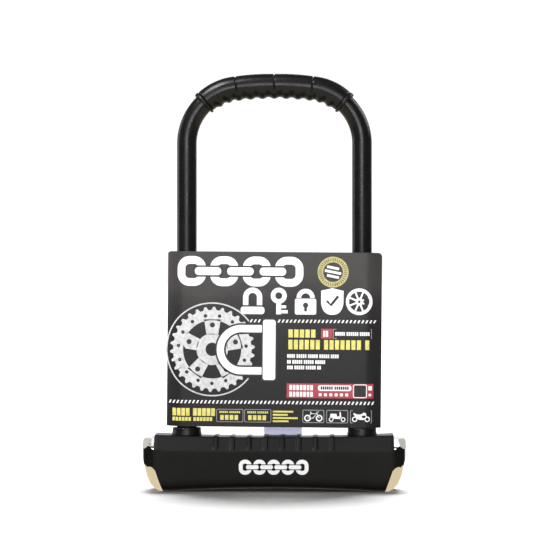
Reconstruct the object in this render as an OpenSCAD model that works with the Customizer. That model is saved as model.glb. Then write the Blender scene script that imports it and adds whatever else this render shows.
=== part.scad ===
// U-shaped bicycle lock: a coated steel shackle held in a rubber-clad crossbar
// by two deadbolts, which one lock core drives through a cam plate.
// Millimetres. X runs along the crossbar, -Y is the front and +Z points up to the crown.
// The origin is on the floor, below the middle of the crossbar.
// The rest position is unlocked: both deadbolts are drawn in.

/* [Shackle] */
// Clear width between the coated legs
clear_w = 115; // [112:1:118]
// Diameter of the steel rod
rod_d = 14; // [13.6:0.1:14.2]
// Thickness of the vinyl coating
coat_t = 0.3; // [0.2:0.1:0.4]
// Length from the feet to the top of the crown
shackle_len = 292; // [240:2:320]
// Height of the feet above the floor
foot_z = 14.2; // [14.2:0.1:15]
// Centreline radius of the corner bends
corner_r = 41.5; // [38:0.5:44]
// Centreline radius of the shallow crown arc
crown_r = 240; // [200:5:300]
// Depth of the bolt notch in each foot
notch_d = 5; // [5:0.1:5.6]
// Height where the coating stops above the foot
coat_z = 44; // [42:0.5:45]

/* [Crown grip] */
// Radius of the grip
grip_r = 9; // [8.6:0.1:9.5]
// Angle above the horizontal where the grip ends on each corner bend
grip_angle = 49; // [45:1:55]
// Height of the finger bumps over the coating
bump_h = 2.4; // [1.9:0.1:2.8]
// Spacing of the finger bumps along the crown
bump_pitch = 8.6; // [8:0.1:9]
// Radius of the bead rings at the grip's ends
bead_r = 9.2; // [8.6:0.1:9.6]
// Width of each bead ring
bead_w = 3; // [2:0.5:4]

/* [Crossbar] */
// Half length of the rubber cover at its top edge
cover_half = 88; // [87.5:0.5:88.5]
// Half length of the rubber cover at the floor
cover_foot = 81.5; // [80:0.5:83]
// Height where the cover's ends start to slant in
cover_slant_z = 19; // [15:1:22]
// Depth of the cover from front to back
cover_depth = 39; // [38.5:0.5:41]
// Height of the cover at its ends
cover_h = 41.4; // [41:0.1:42]
// Fall of the cover's top from its ends to its middle
top_sag = 2; // [1:0.1:2.2]
// Rise of the cover's underside from its ends to its middle
base_sag = 2.2; // [2:0.1:2.2]
// Radius of the cover's lower edges
base_r = 8; // [6:0.5:9]
// Number of ribs across the top of the cover
rib_count = 8; // [2:2:8]
// Spacing of the ribs
rib_pitch = 12.2; // [10:0.2:12.4]
// Height of the ribs
rib_h = 0.7; // [0.4:0.1:1]
// Outer diameter of the steel tube
tube_d = 32; // [31.8:0.1:32]
// Inner diameter of the steel tube
tube_bore = 26; // [25.8:0.1:26.2]
// Height of the tube's axis
tube_z = 21; // [21:0.1:21.3]
// Half length of the tube
tube_half = 89; // [88:0.5:90]
// Half length of the crossbar over its chrome caps
bar_half = 97; // [96:0.5:100]
// Diameter of the collars round the legs
collar_d = 21; // [20:0.5:22]
// Height of the collars' tops
collar_z = 46; // [45.5:0.1:46]

/* [Lock] */
// Travel of each deadbolt in a quarter turn of the core
bolt_travel = 5; // [4.6:0.1:5]
// Diameter of the deadbolts
bolt_d = 8; // [7:0.1:8]
// Height of the deadbolts' axis
bolt_z = 23; // [23:0.1:23.2]
// Diameter of the lock core
core_d = 16; // [15.8:0.1:16]
// Number of disc tumblers
disc_count = 8; // [4:1:8]
// Distance of the cam followers from the core's axis at rest
follower_x = 3.6; // [3.6:0.1:3.7]

/* [Retail sleeve] */
// Width of the folded card sleeve
card_w = 158.5; // [156:0.5:162]
// Height of the card sleeve
card_h = 129; // [100:1:129]
// Depth of the card sleeve
card_depth = 16.4; // [16.4:0.1:17]
// Thickness of the card
card_t = 0.6; // [0.5:0.1:0.7]
// Width of the tongue behind the crossbar
tongue_w = 25; // [15:1:40]

/* [Hidden] */

$fn = 48;
big = 400;
eps = 0.5;
weld = 0.05;
fit = 0.05;
slack = 0.1;
gap = 0.3;

// Shackle
rod_r = rod_d / 2;
leg_r = rod_r + coat_t;
leg_x = clear_w / 2 + leg_r;
bend_x = leg_x - corner_r;
bend_turn = round(100 * asin(bend_x / (crown_r - corner_r))) / 100;
crown_top = foot_z + shackle_len - leg_r;
crown_z = crown_top - crown_r;
bend_z = round(100 * (crown_z + (crown_r - corner_r) * cos(bend_turn))) / 100;
weld_turn = 0.3;
coat_fit = 0.02;
foot_chamfer = 1;
notch_h = bolt_d + 2 * gap;

// Crown grip
grip_lift = 0.3;
groove_turn = 0.12;
groove_depth = 1;
groove_spacing_turn = 6.4;
bump_tip = leg_r + bump_h;
bump_round = 3.5;
bump_offset = 1.5;
bump_axis_r = bump_tip - bump_offset - bump_round;
crown_bumps = 7;
corner_bump_angle = 72;
bead_turn = bead_w / corner_r * 180 / PI;

// Crossbar
half_depth = cover_depth / 2;
side_waist = 1.2;
waist_steps = 22;
waist_half = 75;
bevel_z = 30.5;
bevel_y = 11;
bevel_slope = (half_depth - bevel_y) / (cover_h - bevel_z);
rib_w = 3.4;
rib_low_z = 32;
tube_r = tube_d / 2;
bore_r = tube_bore / 2;
collar_r = collar_d / 2;
collar_bore = leg_r + gap;
collar_low_z = 38.2;
flare_r = 11.5;
flare_low_z = 41;
flare_top_z = 43;
bush_r = 9.3;
bush_low_z = 28;
bush_top_z = 38;
plug_x = 74.5;
seat_x = 56;
seat_z = foot_z - slack;
cap_pin_x = 86;
cap_pin_r = 1.5;
cap_pin_low_z = 2.5;
cap_pin_h = 11;

// End caps
cap_half_depth = 18;
cap_top_z = 38.6;
cap_bevel_z = 29.5;
cap_bevel_y = 10.5;
cap_corner_r = 10;
cap_edge = 1.5;
cap_wall_z = 26;
cap_heel = [[83.5, 0], [87, 1.5], [91, 5], [93.5, 11], [95.5, 20.5]];
cap_facet_point = [86.5, -cap_half_depth, 15];
cap_facet_normal = [0.408, -0.833, -0.373];

// Bolt guides and deadbolts
guide_low_x = 28;
guide_high_x = 52;
bolt_r = bolt_d / 2;
bolt_tip_x = leg_x - rod_r - 2 * gap;
bolt_tip_chamfer = 0.6;
bolt_root_x = 14;
tail_half_w = 3;
tail_end_x = 1.6;
riser_w = 6;
tail_low_z = bolt_z + bolt_r + 0.2;
tail_t = 2.6;
follower_r = 1.1;
follower_low_z = 24.8;

// Lock core and its housing
core_r = core_d / 2;
housing_r = 11.5;
face_r = 9;
face_low_z = 4.4;
face_t = 2;
core_low_z = face_low_z + face_t;
housing_top_z = 22;
core_top_z = 23.8;
disc_r = 6.6;
disc_pitch = 1.75;
disc_t = 1.3;
disc_low_z = core_low_z + 0.2;
disc_stack_h = disc_count * disc_pitch;
key_slot = [6.8, 2.8];
spacer_bore_r = 4;
side_w = 2;
side_low_r = 5.5;
side_high_r = 7.75;
housing_pin_x = 9.95;
housing_pin_z = 12;
housing_pin_r = 1.5;
housing_pin_half = 11.8;
clip_z = 22.3;
clip_t = 1;
clip_groove_r = 7;
clip_r = 9.6;
clip_mouth = 6;

// Cam plate: an Archimedean spiral slot moves each follower evenly with the turn
cam_r = 10.9;
cam_low_z = 24;
cam_top_z = 26.8;
quarter = 90;
slot_r = follower_r + 0.2;
slot_steps = 24;
tenon_w = 2.8;
tenon_h = 1.4;
screw_r = 0.8;
screw_head_r = 1.8;
screw_head_z = 26.1;
screw_low_z = 21.2;
screw_slot_w = 0.5;
screw_slot_depth = 0.4;

// Keyway bezel and shutter
bezel_low_z = base_sag + slack;
bezel_top_z = 4.3;
bezel_half = 23;
bezel_half_w = 10;
pocket_low_z = 3;
window_r = 5.5;
shutter_half = 7;
shutter_half_w = 6.3;
shutter_t = 1;
shutter_travel = 13.5;
nub_x = 3.2;
nub_r = 1.7;
nub_low_z = 2.5;

// Retail sleeve
card_low_z = collar_z + slack;
card_y = card_depth / 2;
card_flat_x = 68;
card_fold_y = 1.6;
fold_share = 0.33;
tongue_x = 5;
tongue_root_z = 70;
tongue_turn_z = 63;
tongue_low_z = 0.8;
tongue_y = half_depth + 0.4;
tongue_bend_z = 34;

// Point on the spiral that the follower traces in the cam plate after a turn of t quarters
function spiral_point(t) = (follower_x + bolt_travel * t) * [cos(-quarter * t), sin(-quarter * t)];

// Unit vector across the spiral at t
function spiral_normal(t) =
    let (
        ahead = spiral_point(t + 0.001),
        behind = spiral_point(t - 0.001),
        along = (ahead - behind) / norm(ahead - behind)
    )
    [-along[1], along[0]];

// Height of the cover's top at a place along the bar
function cover_top(x) = cover_h - top_sag + top_sag * x * x / (cover_half * cover_half);

// Half of the cover's depth at a place along the bar
function waisted_half_depth(x) = half_depth - side_waist * (1 - x * x / (cover_half * cover_half));

// A copy of the children on the right and a mirrored one on the left
module both_sides() {
    children();
    mirror([1, 0, 0])
        children();
}

// The children's outline in Y and Z, extruded along X
module along_x(low, high) {
    translate([low, 0, 0])
        rotate([90, 0, 90])
            linear_extrude(high - low)
                children();
}

// The children's outline in X and Z, extruded to both sides of the middle plane
module across_y(half) {
    rotate([90, 0, 0])
        linear_extrude(2 * half, center = true)
            children();
}

module rod_x(r, low, high, z) {
    translate([low, 0, z])
        rotate([0, 90, 0])
            cylinder(r = r, h = high - low);
}

module rod_z(r, low, high, x = 0, y = 0) {
    translate([x, y, low])
        cylinder(r = r, h = high - low);
}

// A disc, with a hole when hole is above zero
module ring_outline(r, hole) {
    difference() {
        circle(r = r);
        if (hole > 0)
            circle(r = hole);
    }
}

// One arc of rod in the plane of the shackle, from one angle to another
module arc_rod(arc_r, from, to, r, hole) {
    rotate([90, 0, 0])
        rotate([0, 0, from])
            rotate_extrude(angle = to - from)
                translate([arc_r, 0])
                    ring_outline(r, hole);
}

module corner_rod(from, to, r, hole = 0, lift = 0) {
    translate([bend_x, 0, bend_z])
        arc_rod(corner_r + lift, from, to, r, hole);
}

module crown_rod(from, to, r, hole = 0, lift = 0) {
    translate([0, 0, crown_z])
        arc_rod(crown_r + lift, from, to, r, hole);
}

// The crown arc and both corner bends from one angle on, joined inside two thin weld beads.
// A lift moves the rod's axis outwards.
module crown_shape(from, r, hole = 0, lift = 0) {
    join = quarter - bend_turn;
    both_sides() {
        corner_rod(from, join, r, hole, lift);
        crown_rod(join - weld_turn, join + weld_turn, r + weld, hole > 0 ? hole + weld : 0, lift);
    }
    crown_rod(join + weld_turn / 2, 2 * quarter - join - weld_turn / 2, r, hole, lift);
}

// The whole shackle path in one rod or tube, with legs that start at low
module shackle_shape(r, hole, low) {
    both_sides()
        translate([leg_x, 0, low])
            linear_extrude(bend_z - low)
                ring_outline(r, hole);
    crown_shape(0, r, hole);
}

module shackle_rod() {
    color([0.55, 0.56, 0.58])
        difference() {
            shackle_shape(rod_r, 0, foot_z);
            both_sides() {
                translate([leg_x - rod_r - eps, -rod_d, bolt_z - notch_h / 2])
                    cube([notch_d + eps, 2 * rod_d, notch_h]);
                foot_edge();
            }
        }
}

// Ring taken off the end of one foot to leave its chamfer
module foot_edge() {
    translate([leg_x, 0, foot_z])
        difference() {
            translate([0, 0, -eps])
                cylinder(r = rod_r + eps, h = foot_chamfer + eps);
            cylinder(r1 = rod_r - foot_chamfer, r2 = rod_r, h = foot_chamfer);
        }
}

module shackle_coating() {
    color([0.13, 0.13, 0.14])
        shackle_shape(leg_r, rod_r + coat_fit, coat_z);
}

// One of the grooves that part the grip into segments
module grip_groove(turn) {
    crown_rod(turn - groove_turn, turn + groove_turn, grip_r + eps, grip_r - groove_depth);
}

// A round bead across the rod's axis, for one finger bump below the grip
module finger_bead() {
    rotate_extrude()
        translate([bump_axis_r, 0])
            circle(r = bump_round);
}

// The bead placed at a point of an arc, moved towards the arc's centre
module arc_bead(centre_x, centre_z, arc_r, turn) {
    translate([centre_x, 0, centre_z])
        rotate([0, -turn, 0])
            translate([arc_r - bump_offset, 0, 0])
                finger_bead();
}

module crown_grip() {
    bump_turn = bump_pitch / (crown_r - bump_tip) * 180 / PI;
    color([0.15, 0.15, 0.16])
        difference() {
            union() {
                difference() {
                    crown_shape(grip_angle, grip_r - grip_lift, 0, grip_lift);
                    for (side = [-1, 0, 1])
                        grip_groove(quarter + side * groove_spacing_turn);
                }
                for (i = [0 : crown_bumps - 1])
                    arc_bead(0, crown_z, crown_r, quarter + (i - (crown_bumps - 1) / 2) * bump_turn);
                both_sides()
                    arc_bead(bend_x, bend_z, corner_r, corner_bump_angle);
            }
            crown_shape(grip_angle - 1, leg_r);
        }
}

module grip_ring() {
    color([0.12, 0.12, 0.13])
        corner_rod(grip_angle - bead_turn, grip_angle, bead_r, leg_r);
}

module left_grip_ring() {
    mirror([1, 0, 0])
        grip_ring();
}

module right_grip_ring() {
    grip_ring();
}

// Cross-section of the cover at its ends, in Y and Z
module cover_section() {
    low_half = half_depth - base_r;
    translate([-low_half, 0])
        square([2 * low_half, base_r]);
    for (side = [-1, 1])
        translate([side * low_half, base_r])
            circle(r = base_r);
    translate([-half_depth, base_r])
        square([2 * half_depth, bevel_z - base_r]);
    polygon([
        [-half_depth, bevel_z], [half_depth, bevel_z],
        [bevel_y, cover_h], [-bevel_y, cover_h]
    ]);
}

// Places along the bar, evenly spaced from one end to the other
function stations(from, to) = [for (i = [0 : waist_steps]) from + (to - from) * i / waist_steps];

// Side view of the cover in X and Z: slanted ends, a sagging top and an arched underside
module cover_side() {
    top = [for (x = stations(cover_half, -cover_half)) [x, cover_top(x)]];
    underside = [
        for (x = stations(-waist_half, waist_half))
            [x, base_sag * (1 - x * x / (waist_half * waist_half))]
    ];
    polygon(concat(
        underside, [[cover_foot, 0], [cover_half, cover_slant_z]],
        top, [[-cover_half, cover_slant_z], [-cover_foot, 0]]
    ));
}

// Top view of the cover in X and Y, slightly narrower in the middle
module cover_plan() {
    back = [for (x = stations(cover_half, -cover_half)) [x, waisted_half_depth(x)]];
    front = [for (x = stations(-cover_half, cover_half)) [x, -waisted_half_depth(x)]];
    polygon(concat(front, back));
}

// One rib over the top of the cover, at x
module cover_rib(x) {
    rib_top = cover_top(x) + rib_h;
    rib_low_y = half_depth - (rib_low_z - bevel_z) * bevel_slope + eps;
    rib_top_y = half_depth - (rib_top - bevel_z) * bevel_slope + eps;
    along_x(x - rib_w / 2, x + rib_w / 2)
        polygon([
            [-rib_low_y, rib_low_z], [rib_low_y, rib_low_z],
            [rib_top_y, rib_top], [-rib_top_y, rib_top]
        ]);
}

module bar_cover() {
    color([0.16, 0.16, 0.17])
        difference() {
            union() {
                intersection() {
                    along_x(-cover_half, cover_half)
                        cover_section();
                    across_y(cover_depth)
                        cover_side();
                    linear_extrude(cover_h + 1)
                        cover_plan();
                }
                for (i = [0 : rib_count - 1])
                    cover_rib((i - (rib_count - 1) / 2) * rib_pitch);
            }
            rod_x(tube_r, -cover_half - 1, cover_half + 1, tube_z);
            both_sides()
                rod_z(collar_r, tube_z, cover_h + 5, leg_x);
            rod_z(housing_r, -1, tube_z);
            bezel_outline_solid(-1, bezel_top_z);
        }
}

module crossbar_tube() {
    color([0.42, 0.43, 0.45])
        difference() {
            rod_x(tube_r, -tube_half, tube_half, tube_z);
            rod_x(bore_r, -tube_half - 1, tube_half + 1, tube_z);
            both_sides() {
                rod_z(bush_r, tube_z, tube_z + tube_d, leg_x);
                cap_pin(1);
            }
            rod_z(housing_r, 0, tube_z);
            housing_pin_shape(tube_r);
        }
}

module end_plug() {
    color([0.5, 0.5, 0.52])
        difference() {
            union() {
                rod_x(bore_r, plug_x, tube_half, tube_z);
                intersection() {
                    rod_x(bore_r, seat_x, plug_x, tube_z);
                    translate([seat_x, -tube_d, 0])
                        cube([plug_x - seat_x, 2 * tube_d, seat_z]);
                }
            }
            cap_pin(0);
        }
}

module left_end_plug() {
    mirror([1, 0, 0])
        end_plug();
}

module right_end_plug() {
    end_plug();
}

// One roll pin, made longer where it cuts its hole
module cap_pin(extra) {
    rod_z(cap_pin_r, cap_pin_low_z - extra, cap_pin_low_z + cap_pin_h, cap_pin_x);
}

module cap_pins() {
    color([0.6, 0.6, 0.62])
        both_sides()
            cap_pin(0);
}

// Side view of the right cap, in X and Z, down to the cover's slanted end
module cap_side() {
    polygon(concat(
        [[cover_foot, 0]], cap_heel,
        [
            [bar_half, cap_wall_z], [bar_half, cap_top_z - cap_edge],
            [bar_half - cap_edge, cap_top_z], [cover_half, cap_top_z], [cover_half, cover_slant_z]
        ]
    ));
}

// End view of the cap, in Y and Z
module cap_end() {
    low_half = cap_half_depth - base_r;
    translate([-low_half, 0])
        square([2 * low_half, base_r]);
    for (side = [-1, 1])
        translate([side * low_half, base_r])
            circle(r = base_r);
    translate([-cap_half_depth, base_r])
        square([2 * cap_half_depth, cap_bevel_z - base_r]);
    polygon([
        [-cap_half_depth, cap_bevel_z], [cap_half_depth, cap_bevel_z],
        [cap_bevel_y, cap_top_z], [-cap_bevel_y, cap_top_z]
    ]);
}

// Top view of the cap, in X and Y, with round outer corners
module cap_plan() {
    inner_y = cap_half_depth - cap_corner_r;
    translate([cover_foot - 1, -cap_half_depth])
        square([bar_half - cap_corner_r - cover_foot + 1, 2 * cap_half_depth]);
    translate([cover_foot, -inner_y])
        square([bar_half - cover_foot, 2 * inner_y]);
    for (side = [-1, 1])
        translate([bar_half - cap_corner_r, side * inner_y])
            circle(r = cap_corner_r);
}

// Everything on the outer side of the plane through a point, as a large block
module outer_block(point, normal) {
    translate(point)
        rotate([0, acos(normal[2]), atan2(normal[1], normal[0])])
            translate([-big / 2, -big / 2, 0])
                cube(big);
}

module end_cap() {
    color([0.85, 0.84, 0.81])
        difference() {
            intersection() {
                across_y(cover_depth)
                    cap_side();
                along_x(cover_foot - 1, bar_half + 1)
                    cap_end();
                translate([0, 0, -1])
                    linear_extrude(cover_h + 2)
                        cap_plan();
            }
            rod_x(tube_r, 0, tube_half, tube_z);
            outer_block(cap_facet_point, cap_facet_normal);
            mirror([0, 1, 0])
                outer_block(cap_facet_point, cap_facet_normal);
            cap_pin(cap_pin_low_z + 1);
        }
}

module left_end_cap() {
    mirror([1, 0, 0])
        end_cap();
}

module right_end_cap() {
    end_cap();
}

module socket_bush() {
    color([0.62, 0.62, 0.64])
        difference() {
            rod_z(bush_r, bush_low_z, bush_top_z, leg_x);
            rod_z(rod_r + 2 * fit, bush_low_z - 1, bush_top_z + 1, leg_x);
        }
}

module left_socket_bush() {
    mirror([1, 0, 0])
        socket_bush();
}

module right_socket_bush() {
    socket_bush();
}

module collar() {
    color([0.1, 0.1, 0.11])
        difference() {
            union() {
                rod_z(collar_r, collar_low_z, collar_z, leg_x);
                translate([leg_x, 0, flare_low_z])
                    cylinder(r1 = flare_r, r2 = collar_r, h = flare_top_z - flare_low_z);
            }
            rod_z(collar_bore, collar_low_z - 1, collar_z + 1, leg_x);
        }
}

module left_collar() {
    mirror([1, 0, 0])
        collar();
}

module right_collar() {
    collar();
}

module bolt_guide() {
    color([0.7, 0.6, 0.36])
        difference() {
            rod_x(bore_r, guide_low_x, guide_high_x, tube_z);
            rod_x(bolt_r + fit, guide_low_x - 1, guide_high_x + 1, bolt_z);
        }
}

module left_bolt_guide() {
    mirror([1, 0, 0])
        bolt_guide();
}

module right_bolt_guide() {
    bolt_guide();
}

module housing_pin_shape(extra) {
    translate([housing_pin_x, 0, housing_pin_z])
        rotate([90, 0, 0])
            cylinder(r = housing_pin_r, h = 2 * (housing_pin_half + extra), center = true);
}

module housing_pin() {
    color([0.6, 0.6, 0.62])
        housing_pin_shape(0);
}

module cylinder_housing() {
    color([0.75, 0.63, 0.36])
        difference() {
            rod_z(housing_r, face_low_z, housing_top_z);
            rod_z(core_r + fit, face_low_z - 1, housing_top_z + 1);
            rod_z(face_r + fit, face_low_z - 1, core_low_z);
            translate([-core_r - side_w / 2, -side_w / 2 - slack, disc_low_z])
                cube([core_r, side_w + 2 * slack, disc_stack_h]);
            housing_pin_shape(tube_r);
        }
}

// The bezel's stadium outline as a block between two heights
module bezel_outline_solid(low, high) {
    translate([0, 0, low])
        linear_extrude(high - low) {
            square([2 * (bezel_half - bezel_half_w), 2 * bezel_half_w], center = true);
            for (side = [-1, 1])
                translate([side * (bezel_half - bezel_half_w), 0])
                    circle(r = bezel_half_w);
        }
}

module keyway_bezel() {
    color([0.09, 0.09, 0.1])
        difference() {
            bezel_outline_solid(bezel_low_z, bezel_top_z);
            rod_z(window_r, 0, pocket_low_z + eps);
            translate([nub_x, -nub_r - gap, 0])
                cube([shutter_travel, 2 * (nub_r + gap), pocket_low_z + eps]);
            rod_z(nub_r + gap, 0, pocket_low_z + eps, nub_x + shutter_travel);
            translate([-shutter_half - gap, -shutter_half_w - gap, pocket_low_z])
                cube([2 * (shutter_half + gap) + shutter_travel, 2 * (shutter_half_w + gap), big]);
        }
}

module keyway_shutter() {
    color([0.2, 0.2, 0.21]) {
        translate([-shutter_half, -shutter_half_w, pocket_low_z + fit])
            cube([2 * shutter_half, 2 * shutter_half_w, shutter_t]);
        rod_z(nub_r, nub_low_z, pocket_low_z + eps, nub_x);
    }
}

module key_slot_cut(low, high) {
    translate([-key_slot[0] / 2, -key_slot[1] / 2, low])
        cube([key_slot[0], key_slot[1], high - low]);
}

// The bar-shaped space of the sidebar on the core's +Y side, from inner to outer radius
module sidebar_space(inner, outer, slack, low, high) {
    translate([-side_w / 2 - slack, inner, low])
        cube([side_w + 2 * slack, outer - inner, high - low]);
}

module lock_core() {
    color([0.72, 0.6, 0.34])
        difference() {
            union() {
                rod_z(core_r, core_low_z, core_top_z);
                translate([-tenon_w / 2, -tenon_w / 2, core_top_z - eps])
                    cube([tenon_w, tenon_w, tenon_h + eps]);
            }
            rod_z(disc_r + fit, core_low_z - 1, disc_low_z + disc_stack_h + slack);
            sidebar_space(0, big, slack, disc_low_z, disc_low_z + disc_stack_h);
            difference() {
                rod_z(core_r + 1, clip_z, clip_z + clip_t);
                rod_z(clip_groove_r, clip_z, clip_z + clip_t);
            }
            rod_z(screw_r, screw_low_z, core_top_z + tenon_h + 1);
        }
}

module core_face() {
    color([0.5, 0.51, 0.53])
        difference() {
            rod_z(face_r, face_low_z, core_low_z);
            key_slot_cut(0, core_top_z);
        }
}

module disc_tumblers() {
    color([0.78, 0.66, 0.4])
        for (i = [0 : disc_count - 1])
            translate([0, 0, disc_low_z + i * disc_pitch])
                difference() {
                    cylinder(r = disc_r, h = disc_t);
                    key_slot_cut(-1, disc_t + 1);
                    sidebar_space(side_low_r, big, slack, -1, disc_t + 1);
                }
}

module disc_spacers() {
    color([0.6, 0.6, 0.6])
        for (i = [0 : disc_count - 1])
            translate([0, 0, disc_low_z + i * disc_pitch + disc_t])
                difference() {
                    cylinder(r = disc_r, h = disc_pitch - disc_t);
                    translate([0, 0, -1])
                        cylinder(r = spacer_bore_r, h = disc_pitch);
                    sidebar_space(side_low_r, big, slack, -1, disc_pitch);
                }
}

module sidebar() {
    color([0.55, 0.56, 0.58])
        sidebar_space(side_low_r + slack, side_high_r, 0,
            disc_low_z + slack, disc_low_z + disc_stack_h - slack);
}

module core_circlip() {
    color([0.35, 0.35, 0.37])
        difference() {
            rod_z(clip_r, clip_z, clip_z + clip_t);
            rod_z(clip_groove_r, clip_z - 1, clip_z + clip_t + 1);
            translate([-clip_mouth / 2, -big, clip_z - 1])
                cube([clip_mouth, big, clip_t + 2]);
        }
}

// Outline of one spiral slot, with round ends
module spiral_slot() {
    steps = [for (i = [0 : slot_steps]) i / slot_steps];
    outer = [for (t = steps) spiral_point(t) + slot_r * spiral_normal(t)];
    inner = [for (t = steps) spiral_point(1 - t) - slot_r * spiral_normal(1 - t)];
    polygon(concat(outer, inner));
    for (t = [0, 1])
        translate(spiral_point(t))
            circle(r = slot_r);
}

module cam_plate() {
    color([0.5, 0.51, 0.54])
        difference() {
            rod_z(cam_r, cam_low_z, cam_top_z);
            for (turn = [0, 180])
                rotate([0, 0, turn])
                    translate([0, 0, cam_low_z - 1])
                        linear_extrude(cam_top_z - cam_low_z + 2)
                            spiral_slot();
            translate([-tenon_w / 2, -tenon_w / 2, cam_low_z - 1])
                cube([tenon_w, tenon_w, core_top_z + tenon_h - cam_low_z + 1]);
            rod_z(screw_r, cam_low_z, cam_top_z + 1);
            rod_z(screw_head_r, screw_head_z, cam_top_z + 1);
        }
}

module cam_screw() {
    color([0.3, 0.3, 0.32])
        difference() {
            union() {
                rod_z(screw_r, screw_low_z, screw_head_z + slack);
                rod_z(screw_head_r, screw_head_z, cam_top_z - slack);
            }
            translate([-screw_head_r, -screw_slot_w / 2, cam_top_z - screw_slot_depth])
                cube([2 * screw_head_r, screw_slot_w, screw_slot_depth]);
        }
}

module bolt_body() {
    color([0.66, 0.66, 0.68])
        difference() {
            union() {
                rod_x(bolt_r, bolt_root_x, bolt_tip_x - bolt_tip_chamfer, bolt_z);
                translate([bolt_tip_x - bolt_tip_chamfer, 0, bolt_z])
                    rotate([0, 90, 0])
                        cylinder(r1 = bolt_r, r2 = bolt_r - bolt_tip_chamfer, h = bolt_tip_chamfer);
                translate([bolt_root_x, -tail_half_w, bolt_z - tail_half_w])
                    cube([riser_w, 2 * tail_half_w, tail_low_z + tail_t - bolt_z + tail_half_w]);
                translate([tail_end_x, -tail_half_w, tail_low_z])
                    cube([bolt_root_x + riser_w - tail_end_x, 2 * tail_half_w, tail_t]);
            }
            bolt_pin_shape(1);
        }
}

module bolt_pin_shape(extra) {
    rod_z(follower_r, follower_low_z - extra, tail_low_z + tail_t + extra, follower_x);
}

module bolt_pin() {
    color([0.8, 0.8, 0.82])
        bolt_pin_shape(0);
}

module left_bolt() {
    mirror([1, 0, 0])
        bolt_body();
}

module right_bolt() {
    bolt_body();
}

module left_bolt_pin() {
    mirror([1, 0, 0])
        bolt_pin();
}

module right_bolt_pin() {
    bolt_pin();
}

// Plan of the sleeve: flat panels that wrap round the legs to a narrow fold at each side
module card_outline(inset) {
    flat_x = card_flat_x - inset * fold_share;
    fold_x = card_w / 2 - inset;
    fold_y = card_fold_y - inset * fold_share;
    panel_y = card_y - inset;
    polygon([
        [-flat_x, -panel_y], [flat_x, -panel_y], [fold_x, -fold_y], [fold_x, fold_y],
        [flat_x, panel_y], [-flat_x, panel_y], [-fold_x, fold_y], [-fold_x, -fold_y]
    ]);
}

// Side view of the tongue: it leaves the rear panel and runs down behind the bar
module tongue_side() {
    polygon([
        [card_y - card_t, tongue_root_z], [card_y - card_t, tongue_turn_z - card_t],
        [tongue_y, tongue_bend_z], [tongue_y, tongue_low_z],
        [tongue_y + card_t, tongue_low_z], [tongue_y + card_t, tongue_bend_z + card_t],
        [card_y, tongue_turn_z], [card_y, tongue_root_z]
    ]);
}

module retail_sleeve() {
    color([0.3, 0.28, 0.28]) {
        translate([0, 0, card_low_z])
            linear_extrude(card_h)
                difference() {
                    card_outline(0);
                    card_outline(card_t);
                }
        along_x(tongue_x - tongue_w / 2, tongue_x + tongue_w / 2)
            tongue_side();
    }
}

bar_cover();
crossbar_tube();
left_end_plug();
right_end_plug();
left_end_cap();
right_end_cap();
cap_pins();
left_socket_bush();
right_socket_bush();
left_collar();
right_collar();
left_bolt_guide();
right_bolt_guide();
cylinder_housing();
housing_pin();
keyway_bezel();
keyway_shutter();
lock_core();
core_face();
disc_tumblers();
disc_spacers();
sidebar();
core_circlip();
cam_plate();
cam_screw();
left_bolt();
right_bolt();
left_bolt_pin();
right_bolt_pin();
shackle_rod();
shackle_coating();
crown_grip();
left_grip_ring();
right_grip_ring();
retail_sleeve();
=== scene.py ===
from math import asin, ceil, cos, hypot, pi, radians, sin, sqrt, tan

import bmesh
import bpy
from mathutils import Matrix, Vector


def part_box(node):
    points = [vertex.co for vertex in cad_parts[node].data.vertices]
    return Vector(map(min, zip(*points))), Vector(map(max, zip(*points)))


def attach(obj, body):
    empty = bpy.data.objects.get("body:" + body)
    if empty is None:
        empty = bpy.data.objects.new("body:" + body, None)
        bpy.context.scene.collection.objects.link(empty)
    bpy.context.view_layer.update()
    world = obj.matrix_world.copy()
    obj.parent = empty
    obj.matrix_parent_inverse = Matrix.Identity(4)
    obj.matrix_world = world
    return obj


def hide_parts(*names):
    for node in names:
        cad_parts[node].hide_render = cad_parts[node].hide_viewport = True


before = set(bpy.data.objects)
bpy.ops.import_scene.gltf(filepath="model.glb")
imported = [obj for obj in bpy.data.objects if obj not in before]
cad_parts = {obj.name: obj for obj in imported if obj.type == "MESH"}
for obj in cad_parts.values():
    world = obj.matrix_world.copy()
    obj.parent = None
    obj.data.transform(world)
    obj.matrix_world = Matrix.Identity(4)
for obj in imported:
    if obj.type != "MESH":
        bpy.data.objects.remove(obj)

scene = bpy.context.scene
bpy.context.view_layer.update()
MM = 0.001

# ---- driving sizes, in millimetres

ROD_R = 7.0
LEG_R = 7.3
CORNER_R = 41.5
CROWN_R = 240.0
COAT_LOW_Z = 44.0

rod_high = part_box("shackle_rod")[1] / MM
LEG_X = rod_high.x - ROD_R
CROWN_TOP = rod_high.z - ROD_R
BEND_X = LEG_X - CORNER_R
BEND_TURN = asin(BEND_X / (CROWN_R - CORNER_R))
CROWN_Z = CROWN_TOP - CROWN_R
BEND_Z = CROWN_Z + (CROWN_R - CORNER_R) * cos(BEND_TURN)

LEG_LEN = BEND_Z - COAT_LOW_Z
CORNER_LEN = CORNER_R * (pi / 2 - BEND_TURN)
CROWN_HALF = CROWN_R * BEND_TURN
HALF_LEN = CROWN_HALF + CORNER_LEN + LEG_LEN

GRIP_R = 8.7
GRIP_LIFT = 0.3
GRIP_HALF = CROWN_HALF + CORNER_R * (pi / 2 - BEND_TURN - radians(49))

COVER_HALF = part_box("bar_cover")[1].x / MM
COVER_FOOT = 81.5
SLANT_Z = 19.0
COVER_H = 41.4
HALF_DEPTH = 19.5
TUBE_R = 16.0
TUBE_Z = 21.0
COLLAR_R = 10.5
COLLAR_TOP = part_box("right_collar")[1].z / MM
BAR_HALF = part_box("right_end_cap")[1].x / MM

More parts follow.
